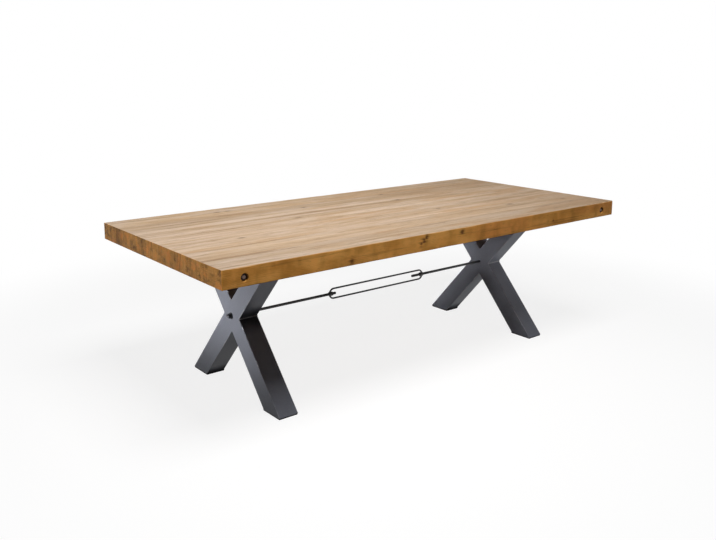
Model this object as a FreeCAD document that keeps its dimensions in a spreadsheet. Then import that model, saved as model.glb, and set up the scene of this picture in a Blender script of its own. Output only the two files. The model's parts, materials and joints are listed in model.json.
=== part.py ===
import FreeCAD, Part
import os

import Sketcher

doc = FreeCAD.newDocument("SawbuckTable")

# Driving dimensions in millimetres; the boards are counted from the front edge to the back
sizes = {
    "table_length": 2500,
    "table_width": 1150,
    "table_height": 770,
    "top_thickness": 80,
    "board_1_width": 167,
    "board_2_width": 157,
    "board_3_width": 201,
    "board_4_width": 141,
    "board_5_width": 105,
    "board_6_width": 205,
    "board_7_width": 174,
    "clamp_rod_inset": 100,
    "clamp_rod_depth": 44,
    "clamp_rod_diameter": 16,
    "clamp_rod_stickout": 3,
    "clamp_washer_diameter": 30,
    "clamp_washer_thickness": 3,
    "clamp_nut_flats": 24,
    "clamp_nut_height": 13,
    "counterbore_diameter": 34,
    "counterbore_depth": 24,
    "leg_overhang": 410,
    "tube_size": 100,
    "tube_wall": 4,
    "crossing_above_middle": 29.5,
    "foot_offset": 328,
    "foot_cap_thickness": 4,
    "glide_thickness": 5,
    "glide_margin": 1,
    "plate_thickness": 8,
    "plate_width": 100,
    "plate_overhang": 64,
    "screw_row_spacing": 56,
    "screw_diameter": 10,
    "screw_length": 60,
    "screw_tip_length": 9,
    "screw_head_flats": 17,
    "screw_head_height": 7,
    "screw_washer_diameter": 24,
    "screw_washer_thickness": 2,
    "tie_rod_diameter": 14,
    "tie_rod_in_nut": 17,
    "tie_washer_diameter": 30,
    "tie_washer_thickness": 3,
    "tie_nut_flats": 22,
    "tie_nut_hex_height": 11,
    "tie_nut_neck_height": 4,
    "tie_nut_dome_diameter": 20,
    "sleeve_wall": 4,
    "turnbuckle_length": 650,
    "turnbuckle_width": 60,
    "turnbuckle_bar": 9,
    "boss_diameter": 21,
    "boss_length": 22,
    "left_tip_inset": 42,
    "right_tip_inset": 80,
    "bore_clearance": 0.5,
    "slide_clearance": 0.3,
    "thread_clearance": 0.08,
    "blind_end_clearance": 1,
    "weld_gap": 0.1,
}
sheet = doc.addObject("Spreadsheet::Sheet", "Dims")
for row, (name, value) in enumerate(sizes.items(), start=1):
    sheet.set(f"A{row}", name)
    sheet.set(f"B{row}", str(value))
    sheet.setAlias(f"B{row}", name)
doc.recompute()

# Places and lengths that follow from the driving dimensions
sawn_widths = [f"Dims.{name}" for name in sizes if name.startswith("board_")]
places = {
    "board_allowance": f"(Dims.table_width - ({' + '.join(sawn_widths)})) / {len(sawn_widths)}",
    "top_underside": "Dims.table_height - Dims.top_thickness",
    "clamp_rod_x": "Dims.table_length / 2 - Dims.clamp_rod_inset",
    "clamp_rod_z": "Dims.table_height - Dims.clamp_rod_depth",
    "clamp_seat_y": "Dims.table_width / 2 - Dims.counterbore_depth",
    "clamp_nut_y": ".clamp_seat_y + Dims.clamp_washer_thickness",
    "clamp_rod_end": ".clamp_nut_y + Dims.clamp_nut_height + Dims.clamp_rod_stickout",
    "leg_x": "Dims.table_length / 2 - Dims.leg_overhang",
    "leg_outer_x": ".leg_x + Dims.tube_size / 2",
    "tube_bottom": "Dims.glide_thickness + Dims.foot_cap_thickness",
    "tube_top": ".top_underside - Dims.plate_thickness",
    "crossing_height": "(.tube_bottom + .tube_top) / 2 + Dims.crossing_above_middle",
    "leg_rise": ".crossing_height - .tube_bottom",
    "leg_cut": "Dims.tube_size * sqrt(1 + (Dims.foot_offset / .leg_rise) ^ 2)",
    "arm_top_offset": "Dims.foot_offset * (.tube_top - .crossing_height) / .leg_rise",
    "arm_top_inner": ".arm_top_offset - .leg_cut / 2",
    "arm_top_outer": ".arm_top_offset + .leg_cut / 2",
    "stock_length": "2 * (.tube_top + Dims.foot_offset + .arm_top_outer)",
    "screw_x": "Dims.screw_row_spacing / 2",
    "inner_screw_y": ".arm_top_inner / 2",
    "outer_screw_y": ".arm_top_outer + Dims.plate_overhang / 2",
    "screw_seat_z": ".tube_top - Dims.screw_washer_thickness",
    "tie_bore_radius": "Dims.tie_rod_diameter / 2 + Dims.slide_clearance",
    "tie_nut_x": ".leg_outer_x + Dims.tie_washer_thickness",
    "boss_radius": "Dims.boss_diameter / 2",
    "bend_radius": "(Dims.turnbuckle_width - Dims.turnbuckle_bar) / 2",
    "bend_x": "(Dims.turnbuckle_length - Dims.turnbuckle_width) / 2",
}
layout = doc.addObject("App::VarSet", "Layout")
for name, formula in places.items():
    layout.addProperty("App::PropertyFloat", name)
    layout.setExpression(name, formula)
    doc.recompute()
layout.addProperty("App::PropertyAngle", "leg_angle")
layout.setExpression("leg_angle", "atan(.leg_rise / Dims.foot_offset)")
doc.recompute()

along_x = FreeCAD.Vector(1, 0, 0)
along_y = FreeCAD.Vector(0, 1, 0)
along_z = FreeCAD.Vector(0, 0, 1)
sides = {"left": -1, "right": 1}
pieces = []


def bind(item, formulas):
    for path, formula in formulas.items():
        item.setExpression(path, formula)


def place(item, x="0", y="0", z="0", turn=None):
    if turn is not None:
        item.Placement = FreeCAD.Placement(FreeCAD.Vector(), turn)
    bind(item, {"Placement.Base.x": x, "Placement.Base.y": y, "Placement.Base.z": z})


def finish(item, node):
    item.Label = node
    pieces.append(item)


def facing_x(sign):
    return FreeCAD.Rotation(along_y, 90 * sign)


def facing_y(sign):
    return FreeCAD.Rotation(along_x, -90 * sign)


def box(name, length, width, height, **spot):
    item = doc.addObject("Part::Box", name)
    bind(item, {"Length": length, "Width": width, "Height": height})
    place(item, **spot)
    return item


def cylinder(name, radius, height, **spot):
    item = doc.addObject("Part::Cylinder", name)
    bind(item, {"Radius": radius, "Height": height})
    place(item, **spot)
    return item


def hexagon(name, flats, height, **spot):
    item = doc.addObject("Part::Prism", name)
    item.Polygon = 6
    bind(item, {"Circumradius": f"{flats} / sqrt(3)", "Height": height})
    place(item, **spot)
    return item


def cut(name, base, tool):
    item = doc.addObject("Part::Cut", name)
    item.Base = base
    item.Tool = tool
    return item


def common(name, base, tool):
    item = doc.addObject("Part::Common", name)
    item.Base = base
    item.Tool = tool
    return item


def fuse(name, items):
    item = doc.addObject("Part::MultiFuse", name)
    item.Shapes = items
    return item


def group(name, items):
    item = doc.addObject("Part::Compound", name)
    item.Links = items
    return item


def ring(name, outer_radius, inner_radius, height, **spot):
    disc = cylinder(f"{name}_disc", outer_radius, height, **spot)
    hole = cylinder(f"{name}_hole", inner_radius, height, **spot)
    return cut(name, disc, hole)


def hex_nut(name, flats, inner_radius, height, **spot):
    blank = hexagon(f"{name}_blank", flats, height, **spot)
    hole = cylinder(f"{name}_hole", inner_radius, height, **spot)
    return cut(name, blank, hole)


def sketch_on(body, role, name):
    sketch = body.newObject("Sketcher::SketchObject", name)
    plane = next(feature for feature in body.Origin.OriginFeatures if feature.Role == role)
    sketch.AttachmentSupport = (plane, [""])
    sketch.MapMode = "FlatFace"
    return sketch


def add_rectangle(sketch, left, right, low, high):
    corners = [FreeCAD.Vector(x, y) for x, y in ((-1, -1), (1, -1), (1, 1), (-1, 1))]
    first = sketch.GeometryCount
    for index in range(4):
        sketch.addGeometry(Part.LineSegment(corners[index], corners[(index + 1) % 4]))
    bottom, end, top, start = range(first, first + 4)
    for line, following in ((bottom, end), (end, top), (top, start), (start, bottom)):
        sketch.addConstraint(Sketcher.Constraint("Coincident", line, 2, following, 1))
    for kind, line in (("Horizontal", bottom), ("Horizontal", top), ("Vertical", end), ("Vertical", start)):
        sketch.addConstraint(Sketcher.Constraint(kind, line))
    limits = (
        ("DistanceX", bottom, -1, left),
        ("DistanceX", end, 1, right),
        ("DistanceY", bottom, -1, low),
        ("DistanceY", top, 1, high),
    )
    for kind, line, guess, formula in limits:
        index = sketch.addConstraint(Sketcher.Constraint(kind, -1, 1, line, 1, guess))
        sketch.setExpression(f"Constraints[{index}]", formula)


def add_circle(sketch, x, y, diameter):
    circle = sketch.addGeometry(Part.Circle(FreeCAD.Vector(), along_z, 1))
    for kind, formula in (("DistanceX", x), ("DistanceY", y)):
        index = sketch.addConstraint(Sketcher.Constraint(kind, -1, 1, circle, 3, 1))
        sketch.setExpression(f"Constraints[{index}]", formula)
    index = sketch.addConstraint(Sketcher.Constraint("Diameter", circle, 1))
    sketch.setExpression(f"Constraints[{index}]", diameter)


def bar(name, profile, x, lean):
    body = doc.addObject("PartDesign::Body", name)
    sketch = sketch_on(body, "XZ_Plane", f"{name}_section")
    for limits in profile:
        add_rectangle(sketch, *limits)
    pad = body.newObject("PartDesign::Pad", f"{name}_pad")
    pad.Profile = sketch
    pad.SideType = "Symmetric"
    pad.setExpression("Length", "Layout.stock_length")
    place(body, x=x, z="Layout.crossing_height", turn=FreeCAD.Rotation(along_x, lean))
    body.setExpression("Placement.Rotation.Angle", f"{lean} * Layout.leg_angle")
    return body


# Holes in the tabletop: the clamping rods' bores and counterbores, and the coach screws' pilot holes
top_holes = []
for side, sign in sides.items():
    rod_spot = {"x": f"{sign} * Layout.clamp_rod_x", "z": "Layout.clamp_rod_z"}
    bore_radius = "Dims.clamp_rod_diameter / 2 + Dims.bore_clearance"
    top_holes.append(cylinder(f"{side}_clamp_bore", bore_radius, "Dims.table_width",
                              y="-Dims.table_width / 2", turn=facing_y(1), **rod_spot))
    for edge in (-1, 1):
        top_holes.append(cylinder(f"{side}_counterbore", "Dims.counterbore_diameter / 2",
                                  "Dims.counterbore_depth", y=f"{edge} * Layout.clamp_seat_y",
                                  turn=facing_y(edge), **rod_spot))


def screw_spots(sign):
    for row in (-1, 1):
        for end in (-1, 1):
            for offset in ("Layout.inner_screw_y", "Layout.outer_screw_y"):
                yield f"{sign} * Layout.leg_x + {row} * Layout.screw_x", f"{end} * {offset}"


pilot_radius = "Dims.screw_diameter / 2 + Dims.thread_clearance"
pilot_top = "Layout.screw_seat_z + Dims.screw_length + Dims.blind_end_clearance"
for side, sign in sides.items():
    for x, y in screw_spots(sign):
        top_holes.append(cylinder(f"{side}_pilot_hole", pilot_radius, f"{pilot_top} - Layout.top_underside",
                                  x=x, y=y, z="Layout.top_underside"))
top_bores = fuse("top_bores", top_holes)

# Tabletop boards, edge to edge from front to back, which share out any width that they leave over
board_widths = [f"({width} + Layout.board_allowance)" for width in sawn_widths]
for number, width in enumerate(board_widths, start=1):
    front = " + ".join(["-Dims.table_width / 2"] + board_widths[:number - 1])
    blank = box(f"board_{number}_blank", "Dims.table_length", width, "Dims.top_thickness",
                x="-Dims.table_length / 2", y=front, z="Layout.top_underside")
    finish(cut(f"board_{number}", blank, top_bores), f"tabletop_board_{number}")

# Clamping rods across the top, with a washer and a nut in each counterbore
clamp_washers = []
clamp_nuts = []
clamp_hole_radius = "Dims.clamp_rod_diameter / 2 + Dims.thread_clearance"
for side, sign in sides.items():
    rod_spot = {"x": f"{sign} * Layout.clamp_rod_x", "z": "Layout.clamp_rod_z"}
    rod = cylinder(f"{side}_clamp_bar", "Dims.clamp_rod_diameter / 2", "2 * Layout.clamp_rod_end",
                   y="-Layout.clamp_rod_end", turn=facing_y(1), **rod_spot)
    finish(rod, f"{side}_clamp_rod")
    for edge in (-1, 1):
        clamp_washers.append(ring(f"{side}_clamp_washer", "Dims.clamp_washer_diameter / 2",
                                  clamp_hole_radius, "Dims.clamp_washer_thickness",
                                  y=f"{edge} * Layout.clamp_seat_y", turn=facing_y(edge), **rod_spot))
        clamp_nuts.append(hex_nut(f"{side}_clamp_nut", "Dims.clamp_nut_flats", clamp_hole_radius,
                                  "Dims.clamp_nut_height", y=f"{edge} * Layout.clamp_nut_y",
                                  turn=facing_y(edge), **rod_spot))
finish(group("clamp_washer_set", clamp_washers), "clamp_rod_washers")
finish(group("clamp_nut_set", clamp_nuts), "clamp_rod_nuts")


# X frame: a long leg right through the crossing, and an upper arm and a short leg butted against its sides
def x_frame(side, sign):
    x = f"{sign} * Layout.leg_x"
    half = "Dims.tube_size / 2"
    inner = f"({half} - Dims.tube_wall)"
    tube = (
        (f"-{half}", half, f"-{half}", half),
        (f"-{inner}", inner, f"-{inner}", inner),
    )
    above = (("-Dims.tube_size", "Dims.tube_size", f"-{half}", "Layout.stock_length"),)
    below = (("-Dims.tube_size", "Dims.tube_size", "-Layout.stock_length", half),)
    slab = box(f"{side}_mitres", "2 * Dims.tube_size", "2 * Layout.stock_length",
               "Layout.tube_top - Layout.tube_bottom", x=f"{x} - Dims.tube_size",
               y="-Layout.stock_length", z="Layout.tube_bottom")
    bore = cylinder(f"{side}_tie_bore", "Layout.tie_bore_radius", "2 * Dims.tube_size",
                    x=f"{x} - Dims.tube_size", z="Layout.crossing_height", turn=facing_x(1))

    long_stock = bar(f"{side}_long_stock", tube, x, -sign)
    long_mitred = common(f"{side}_long_mitred", long_stock, slab)
    finish(cut(f"{side}_long_bored", long_mitred, bore), f"{side}_long_leg")

    cross_stock = bar(f"{side}_cross_stock", tube, x, sign)
    cross_mitred = common(f"{side}_cross_mitred", cross_stock, slab)
    for node, keep_out in (("upper_arm", below), ("short_leg", above)):
        butt = bar(f"{side}_{node}_butt", keep_out, x, -sign)
        finish(cut(f"{side}_{node}_cut", cross_mitred, butt), f"{side}_{node}")

    sleeve = ring(f"{side}_sleeve", "Layout.tie_bore_radius + Dims.sleeve_wall", "Layout.tie_bore_radius",
                  "Dims.tube_size - 2 * Dims.tube_wall", x=f"{x} - {inner}",
                  z="Layout.crossing_height", turn=facing_x(1))
    finish(sleeve, f"{side}_crossing_sleeve")


def feet(side, sign):
    for end, edge in (("front", -1), ("rear", 1)):
        y = f"{edge} * Dims.foot_offset"
        cap = box(f"{side}_{end}_cap", "Dims.tube_size", "Layout.leg_cut", "Dims.foot_cap_thickness",
                  x=f"{sign} * Layout.leg_x - Dims.tube_size / 2", y=f"{y} - Layout.leg_cut / 2",
                  z="Dims.glide_thickness")
        finish(cap, f"{side}_{end}_foot_cap")
        glide = box(f"{side}_{end}_pad", "Dims.tube_size - 2 * Dims.glide_margin",
                    "Layout.leg_cut - 2 * Dims.glide_margin", "Dims.glide_thickness",
                    x=f"{sign} * Layout.leg_x - Dims.tube_size / 2 + Dims.glide_margin",
                    y=f"{y} - Layout.leg_cut / 2 + Dims.glide_margin")
        finish(glide, f"{side}_{end}_glide")


# Top plate with its coach screws and washers, which hold the boards from below
def top_plate(side, sign):
    body = doc.addObject("PartDesign::Body", f"{side}_plate")
    sketch = sketch_on(body, "XY_Plane", f"{side}_plate_outline")
    reach = "(Layout.arm_top_outer + Dims.plate_overhang)"
    add_rectangle(sketch, "-Dims.plate_width / 2", "Dims.plate_width / 2", f"-{reach}", reach)
    for x, y in screw_spots(0):
        add_circle(sketch, x, y, "Dims.screw_diameter + 2 * Dims.bore_clearance")
    pad = body.newObject("PartDesign::Pad", f"{side}_plate_pad")
    pad.Profile = sketch
    pad.setExpression("Length", "Dims.plate_thickness")
    place(body, x=f"{sign} * Layout.leg_x", z="Layout.tube_top")
    finish(body, f"{side}_top_plate")

    screws = []
    washers = []
    shank_radius = "Dims.screw_diameter / 2"
    shank_length = "Dims.screw_length - Dims.screw_tip_length"
    for x, y in screw_spots(sign):
        head = hexagon(f"{side}_screw_head", "Dims.screw_head_flats", "Dims.screw_head_height",
                       x=x, y=y, z="Layout.screw_seat_z - Dims.screw_head_height")
        shank = cylinder(f"{side}_screw_shank", shank_radius, shank_length, x=x, y=y, z="Layout.screw_seat_z")
        tip = doc.addObject("Part::Cone", f"{side}_screw_tip")
        tip.Radius2 = 0
        bind(tip, {"Radius1": shank_radius, "Height": "Dims.screw_tip_length"})
        place(tip, x=x, y=y, z=f"Layout.screw_seat_z + {shank_length}")
        screws.append(fuse(f"{side}_screw", [head, shank, tip]))
        washers.append(ring(f"{side}_screw_washer", "Dims.screw_washer_diameter / 2",
                            f"{shank_radius} + Dims.bore_clearance", "Dims.screw_washer_thickness",
                            x=x, y=y, z="Layout.screw_seat_z"))
    finish(group(f"{side}_screw_set", screws), f"{side}_plate_screws")
    finish(group(f"{side}_screw_washer_set", washers), f"{side}_plate_washers")


for side, sign in sides.items():
    x_frame(side, sign)
    feet(side, sign)
    top_plate(side, sign)


# Tie between the crossings: a rod from each side, held by a washer and a domed nut on the leg's outer face
def tie_rod(side, sign):
    outer_end = "(Layout.tie_nut_x + Dims.tie_rod_in_nut)"
    tip = f"(Dims.turnbuckle_length / 2 - Dims.{side}_tip_inset)"
    axis_z = {"z": "Layout.crossing_height", "turn": facing_x(sign)}
    rod = cylinder(f"{side}_tie_bar", "Dims.tie_rod_diameter / 2", f"{outer_end} - {tip}",
                   x=f"{sign} * {tip}", **axis_z)
    finish(rod, f"{side}_tie_rod")
    washer = ring(f"{side}_tie_disc", "Dims.tie_washer_diameter / 2", "Layout.tie_bore_radius",
                  "Dims.tie_washer_thickness", x=f"{sign} * Layout.leg_outer_x", **axis_z)
    finish(washer, f"{side}_tie_washer")

    nut_x = f"{sign} * Layout.tie_nut_x"
    dome_radius = "Dims.tie_nut_dome_diameter / 2"
    neck_top = "(Dims.tie_nut_hex_height + Dims.tie_nut_neck_height)"
    flats = hexagon(f"{side}_tie_hex", "Dims.tie_nut_flats", "Dims.tie_nut_hex_height", x=nut_x, **axis_z)
    neck = cylinder(f"{side}_tie_neck", dome_radius, neck_top, x=nut_x, **axis_z)
    dome = doc.addObject("Part::Sphere", f"{side}_tie_dome")
    dome.Angle1 = 0
    bind(dome, {"Radius": dome_radius})
    place(dome, x=f"{nut_x} + {sign} * {neck_top}", **axis_z)
    solid_nut = fuse(f"{side}_tie_nut_blank", [flats, neck, dome])
    hole = cylinder(f"{side}_tie_nut_hole", "Dims.tie_rod_diameter / 2 + Dims.thread_clearance",
                    "Dims.tie_rod_in_nut + Dims.blind_end_clearance", x=nut_x, **axis_z)
    finish(cut(f"{side}_tie_cap", solid_nut, hole), f"{side}_tie_nut")


# Turnbuckle: two rails of round bar, bent to meet a threaded boss at each end
def bend(name, x, quarter):
    item = doc.addObject("Part::Torus", name)
    item.Angle3 = 90
    bind(item, {"Radius1": "Layout.bend_radius", "Radius2": "Dims.turnbuckle_bar / 2"})
    turn = FreeCAD.Rotation(along_x, 90) * FreeCAD.Rotation(along_z, 90 * quarter)
    place(item, x=x, z="Layout.crossing_height", turn=turn)
    return item


def turnbuckle():
    seats = []
    for side, sign in sides.items():
        spot = {"x": f"{sign} * (Dims.turnbuckle_length / 2 - Dims.boss_length)",
                "z": "Layout.crossing_height", "turn": facing_x(sign)}
        boss = ring(f"{side}_boss_ring", "Layout.boss_radius",
                    "Dims.tie_rod_diameter / 2 + Dims.thread_clearance", "Dims.boss_length", **spot)
        finish(boss, f"turnbuckle_{side}_boss")
        seats.append(cylinder(f"{side}_boss_seat", "Layout.boss_radius + Dims.weld_gap",
                              "2 * Dims.boss_length", **spot))
    boss_seats = group("boss_seats", seats)
    for node, level, left_quarter, right_quarter in (("upper", 1, 1, 0), ("lower", -1, 2, 3)):
        straight = cylinder(f"{node}_straight", "Dims.turnbuckle_bar / 2", "2 * Layout.bend_x",
                            x="-Layout.bend_x", z=f"Layout.crossing_height + {level} * Layout.bend_radius",
                            turn=facing_x(1))
        left_bend = bend(f"{node}_left_bend", "-Layout.bend_x", left_quarter)
        right_bend = bend(f"{node}_right_bend", "Layout.bend_x", right_quarter)
        bent_bar = fuse(f"{node}_bent_bar", [straight, left_bend, right_bend])
        finish(cut(f"{node}_rail", bent_bar, boss_seats), f"turnbuckle_{node}_rail")


for side, sign in sides.items():
    tie_rod(side, sign)
turnbuckle()
doc.recompute()

# Every feature and every piece is sound before anything is written
for item in doc.Objects:
    if "Invalid" in item.State or "Error" in item.State:
        raise RuntimeError(f"{item.Name} failed: {item.State}")
for piece in pieces:
    if piece.Shape.isNull() or not piece.Shape.isValid() or not piece.Shape.Solids:
        raise RuntimeError(f"{piece.Label} is not a sound solid")

os.makedirs("parts", exist_ok=True)
for piece in pieces:
    piece.Shape.exportStep(f"parts/{piece.Label}.step")
    print(f"{piece.Label}: {len(piece.Shape.Solids)} solids, {piece.Shape.Volume / 1000:.1f} cm3")
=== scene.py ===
import json
import random
from math import copysign, cos, pi, radians, sin, sqrt

import bmesh
import bpy
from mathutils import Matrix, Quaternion, Vector, noise

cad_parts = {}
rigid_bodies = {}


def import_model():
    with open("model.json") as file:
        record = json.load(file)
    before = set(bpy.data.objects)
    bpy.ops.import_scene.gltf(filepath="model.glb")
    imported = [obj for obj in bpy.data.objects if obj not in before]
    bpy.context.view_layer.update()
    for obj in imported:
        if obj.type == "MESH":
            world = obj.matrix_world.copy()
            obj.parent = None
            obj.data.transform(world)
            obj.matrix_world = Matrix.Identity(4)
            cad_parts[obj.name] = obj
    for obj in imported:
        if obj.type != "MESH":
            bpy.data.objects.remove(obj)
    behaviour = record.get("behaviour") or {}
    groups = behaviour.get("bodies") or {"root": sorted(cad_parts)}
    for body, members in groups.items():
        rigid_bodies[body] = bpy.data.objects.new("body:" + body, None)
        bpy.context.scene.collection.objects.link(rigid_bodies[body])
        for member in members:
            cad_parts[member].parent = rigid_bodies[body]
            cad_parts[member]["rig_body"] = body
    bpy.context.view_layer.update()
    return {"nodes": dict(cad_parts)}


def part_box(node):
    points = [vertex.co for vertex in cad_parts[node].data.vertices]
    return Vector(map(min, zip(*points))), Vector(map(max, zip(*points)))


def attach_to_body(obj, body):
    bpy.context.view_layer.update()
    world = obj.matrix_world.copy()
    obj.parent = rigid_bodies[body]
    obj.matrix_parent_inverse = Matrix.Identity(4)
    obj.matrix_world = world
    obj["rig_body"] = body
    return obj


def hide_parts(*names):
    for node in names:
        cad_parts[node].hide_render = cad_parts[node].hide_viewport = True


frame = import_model()
scene = bpy.context.scene
scene.view_settings.view_transform = "Standard"
mm = 0.001
sides = {"left": -1, "right": 1}
xAxis = Vector((1, 0, 0))
yAxis = Vector((0, 1, 0))
zAxis = Vector((0, 0, 1))
origin = Vector((0, 0, 0))
print("frame loaded:", len(frame["nodes"]), "nodes")


# node trees

class NodeTree:
    def __init__(self, tree):
        self.tree = tree
        tree.nodes.clear()

    def add(self, kind, values=None, **settings):
        node = self.tree.nodes.new(kind)
        for key, value in settings.items():
            setattr(node, key, value)
        for key, value in (values or {}).items():
            if isinstance(value, bpy.types.NodeSocket):
                self.tree.links.new(value, node.inputs[key])
            else:
                node.inputs[key].default_value = value
        return node

    def put(self, kind, values=None, output=0, **settings):
        return self.add(kind, values, **settings).outputs[output]

    def maths(self, operation, a, b=0.0, c=0.0, clamp=False):
        return self.put("ShaderNodeMath", {0: a, 1: b, 2: c}, operation=operation, use_clamp=clamp)

    def times(self, a, b, clamp=False):
        return self.maths("MULTIPLY", a, b, clamp=clamp)

    def minus(self, a, b):
        return self.maths("SUBTRACT", a, b)

    def size(self, value):
        return self.maths("ABSOLUTE", value)

    # adds further values by their weights
    def heap(self, total, *parts, clamp=False):
        for k, (value, weight) in enumerate(parts):
            last = k == len(parts) - 1
            total = self.maths("MULTIPLY_ADD", value, weight, total, clamp and last)
        return total

    def vectorMaths(self, operation, a, b=(0, 0, 0)):
        return self.put("ShaderNodeVectorMath", {0: a, 1: b}, operation=operation)

    def length(self, spot):
        return self.put("ShaderNodeVectorMath", {0: spot}, operation="LENGTH", output="Value")

    def vector(self, x=0.0, y=0.0, z=0.0):
        return self.put("ShaderNodeCombineXYZ", {"X": x, "Y": y, "Z": z})

    def split(self, spot):
        return self.add("ShaderNodeSeparateXYZ", {0: spot}).outputs[:]

    def mark(self, name, output="Fac"):
        return self.put("ShaderNodeAttribute", output=output, attribute_name=name)

    def cloud(self, stretch, detail=2.0, roughness=0.5, place=None):
        place = self.place if place is None else place
        values = {"Vector": self.vectorMaths("MULTIPLY", place, stretch), "Scale": 1.0,
                  "Detail": detail, "Roughness": roughness}
        return self.put("ShaderNodeTexNoise", values, output="Fac")

    def spread(self, value, low, high, toLow=0.0, toHigh=1.0, soft=False):
        values = {"Value": value, "From Min": low, "From Max": high, "To Min": toLow, "To Max": toHigh}
        kind = "SMOOTHSTEP" if soft else "LINEAR"
        return self.put("ShaderNodeMapRange", values, interpolation_type=kind, output="Result")

    def ease(self, value, low, high):
        return self.spread(value, low, high, soft=True)


class Finish(NodeTree):
    def __init__(self, name, palette):
        self.palette = palette
        self.material = bpy.data.materials.new(name)
        self.material.use_nodes = True
        super().__init__(self.material.node_tree)
        self.place = self.put("ShaderNodeTexCoord", output="Object")

    # lays one colour after another over the first, each by its share
    def coat(self, colour, *coats):
        colour = self.palette.get(colour, colour)
        for share, over in coats:
            values = {0: share, 6: colour, 7: self.palette.get(over, over)}
            colour = self.put("ShaderNodeMix", values, data_type="RGBA", output=2)
        return colour

    # relief is height, strength and distance
    def close(self, colour, roughness, relief, plain):
        height, strength, distance = relief
        bump = self.put("ShaderNodeBump", {"Height": height, "Strength": strength, "Distance": distance})
        values = {"Base Color": colour, "Roughness": roughness, "Normal": bump, **plain}
        self.add("ShaderNodeOutputMaterial", {"Surface": self.put("ShaderNodeBsdfPrincipled", values)})
        return self.material


def srgb(red, green, blue):
    channels = []
    for value in (red, green, blue):
        share = value / 255
        channels.append(share / 12.92 if share <= 0.04045 else ((share + 0.055) / 1.055) ** 2.4)
    return (*channels, 1.0)


# sawn timber: sandy top, honey edges, brown ends; the top is paler partly by weathering, partly as painted
# sheen

timber = {
    "topPale": srgb(228, 202, 174),
    "topMid": srgb(180, 147, 112),
    "topDark": srgb(104, 76, 50),
    "topWarm": srgb(208, 166, 122),  # honey patches
    "topBlush": srgb(236, 212, 190),  # pale, pinkish patches
    "edgePale": srgb(246, 180, 96),
    "edgeMid": srgb(206, 140, 62),
    "edgeWarm": srgb(230, 154, 80),
    "edgeOrange": srgb(252, 178, 92),
    "edgeOlive": srgb(164, 114, 46),
    "edgeDark": srgb(92, 56, 22),
    "edgeTone": 0.915,
    "endPale": srgb(162, 116, 60),
    "endMid": srgb(112, 77, 35),
    "endOrange": srgb(170, 106, 50),
    "endDark": srgb(54, 32, 9),
    # painted highlight along the top arrises
    "arris": srgb(226, 186, 138),
    "sunned": srgb(216, 180, 134),  # yellower boards lean to this
    "faceTurn": (0.35, 0.85),  # how squarely a face looks along an axis
    "ownShift": (7.3, 3.1, 5.7),  # moves the grain from board to board
    "ringWidth": 5.5 * mm,
    "seamHighlight": (0.198, 0.240, 0.75),  # painted highlight, a pale band behind a seam: from y, to y, strength
    "seamShadow": (0.155, 0.190, 0.30),  # painted shadow, a darker band in front of that seam
    "stripeFade": (6 * mm, 8 * mm),
    "stripeEnd": (0.75, 0.1),  # fades out along x
    "knotCore": 0.4,
    # knots as (x, z, radius) on the front edge and (x, y, radius) on the top
    "frontKnots": ((-0.631, 0.708, 0.012), (-0.198, 0.754, 0.010), (-0.213, 0.740, 0.012),
                   (-0.229, 0.725, 0.010), (0.034, 0.749, 0.011), (0.72, 0.720, 0.006)),
    "topKnots": ((-0.445, 0.100, 0.017), (-0.90, -0.130, 0.014), (0.305, 0.200, 0.017), (0.70, -0.29, 0.017),
                 (0.30, -0.140, 0.015), (-0.25, 0.325, 0.013), (0.35, 0.390, 0.014), (-0.69, 0.482, 0.016),
                 (-0.63, 0.478, 0.014), (1.08, -0.36, 0.013)),
    "frontGrowth": (0.58, 0.55),  # how far the knots run along the board and across it, 1 being least
    "topGrowth": (0.45, 1.0),
    "endStains": ((0.415, 0.075, 0.70), (0.125, 0.040, 0.35)),  # on the ends: y, reach, strength
}


def knotField(tree, along, across, spots, growth, keep):
    field = None
    for x, y, radius in spots:
        spot = tree.vector(tree.times(tree.minus(along, x), growth[0]),
                           tree.times(tree.minus(across, y), growth[1]))
        core = tree.maths("ADD", tree.length(spot), radius * timber["knotCore"])
        near = tree.maths("DIVIDE", radius, core)
        field = near if field is None else tree.maths("MAXIMUM", field, near)
    return tree.times(field, keep)


def stripeField(tree, across, along, stripe):
    low, high = stripe[:2]
    fadeIn, fadeOut = timber["stripeFade"]
    field = tree.times(tree.ease(across, low, low + fadeIn), tree.ease(across, high + fadeOut, high))
    return tree.times(field, tree.ease(along, *timber["stripeEnd"]))


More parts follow.
